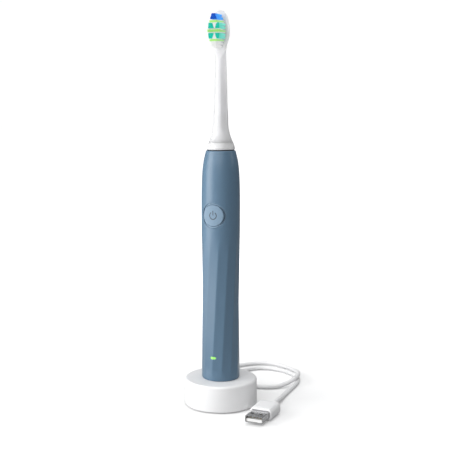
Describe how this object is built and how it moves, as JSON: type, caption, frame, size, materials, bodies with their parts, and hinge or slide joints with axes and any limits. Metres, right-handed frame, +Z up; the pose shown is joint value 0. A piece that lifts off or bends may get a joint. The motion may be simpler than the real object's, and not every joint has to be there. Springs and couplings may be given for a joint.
{
  "type": "electric toothbrush on charger",
  "caption": "Sonic toothbrush with a faceted handle and click-on bristle head, standing on a low round induction charger with a white USB lead.",
  "frame": {"origin": "on the axis of the charger puck, handle and drive shaft, at the surface the charger stands on", "axes": "+Z up along the handle; the button, lamp and bristles face -Y; the USB plug lies on the +X side with its mouth towards -Y"},
  "size_m": [0.0756, 0.1349, 0.2676],
  "materials": {
    "puck_white": "smooth satin moulding",
    "cover_white": "fine matt moulding",
    "foot_rubber": "matt soft rubber",
    "screw_steel": "zinc plated",
    "board_green": "solder mask",
    "component_black": "moulded epoxy",
    "bobbin_cream": "glass-filled nylon",
    "coil_copper": "enamelled wire",
    "ferrite_grey": "sintered",
    "lead_white": "smooth flexible sheath",
    "plug_white": "fine satin moulding",
    "plug_steel": "nickel plated sheet",
    "tongue_white": "glossy insulator",
    "contact_gold": "gold flash",
    "handle_blue": "satin, very fine grain",
    "button_blue": "soft-touch",
    "cap_blue": "satin",
    "lamp_green": "lit light guide",
    "seal_black": "matt elastomer",
    "chassis_grey": "glass-filled plastic",
    "cell_wrap": "shrink wrap",
    "tab_nickel": "nickel strip",
    "core_steel": "stacked laminations",
    "bearing_bronze": "sintered bronze",
    "shaft_steel": "ground",
    "magnet_nickel": "nickel plated",
    "head_white": "smooth, slightly translucent",
    "ring_white": "smooth gloss",
    "tag_board": "thin laminate",
    "filament_blue": "nylon filament",
    "filament_lime": "nylon filament",
    "filament_teal": "nylon filament",
    "filament_white": "nylon filament",
    "anchor_brass": "flat wire"
  },
  "bodies": {
    "charger": {"charger_housing": "puck_white", "charger_base_cover": "cover_white", "anti_slip_ring": "foot_rubber", "charger_screws": "screw_steel", "charger_pcb": "board_green", "charger_pcb_components": "component_black", "primary_bobbin": "bobbin_cream", "primary_coil": "coil_copper", "ferrite_core": "ferrite_grey", "cable_gland": "lead_white", "usb_cable": "lead_white", "usb_overmould": "plug_white", "usb_shell": "plug_steel", "usb_tongue": "tongue_white", "usb_contacts": "contact_gold"},
    "handle": {"handle_housing": "handle_blue", "button_seal": "button_blue", "led_window": "lamp_green", "base_cap": "cap_blue", "base_cap_o_ring": "seal_black", "secondary_bobbin": "bobbin_cream", "secondary_coil": "coil_copper", "inner_chassis": "chassis_grey", "main_pcb": "board_green", "main_pcb_components": "component_black", "tact_switch": "component_black", "battery_cell": "cell_wrap", "battery_tabs": "tab_nickel", "stator_core": "core_steel", "stator_coils": "coil_copper", "upper_bearing": "bearing_bronze", "lower_bearing": "bearing_bronze", "torsion_spring": "shaft_steel", "nose_collar": "cap_blue", "reader_antenna": "coil_copper", "shaft_seal": "seal_black"},
    "button": {"power_button": "button_blue"},
    "plunger": {"switch_plunger": "tongue_white"},
    "drive": {"drive_shaft": "shaft_steel", "rotor_yoke": "core_steel", "rotor_magnets": "magnet_nickel"},
    "brush_head": {"brush_neck": "head_white", "head_base_ring": "ring_white", "chip_tag": "tag_board", "shaft_clip": "shaft_steel", "tufts_blue": "filament_blue", "tufts_lime": "filament_lime", "tufts_teal": "filament_teal", "tufts_white": "filament_white", "tuft_anchors": "anchor_brass"}
  },
  "joints": [
    {"name": "handle_lift", "type": "slide", "parent": "charger", "child": "handle", "axis": [0, 0, 1], "range_m": [0, 0.03]},
    {"name": "button_press", "type": "slide", "parent": "handle", "child": "button", "axis": [0, 1, 0], "range_m": [0, 0.0004], "stiffness_N_per_m": 800},
    {"name": "switch_press", "type": "slide", "parent": "handle", "child": "plunger", "axis": [0, 1, 0], "range_m": [0, 0.0004]},
    {"name": "shaft_oscillation", "type": "hinge", "parent": "handle", "child": "drive", "pos_m": [0, 0, 0.15], "axis": [0, 0, 1], "range_deg": [-5, 5], "stiffness_Nm_per_rad": 0.2},
    {"name": "head_pull", "type": "slide", "parent": "drive", "child": "brush_head", "axis": [0, 0, 1], "range_m": [0, 0.03]}
  ],
  "couplings": [
    {"joint": "switch_press", "follows": "button_press", "ratio": 1}
  ]
}
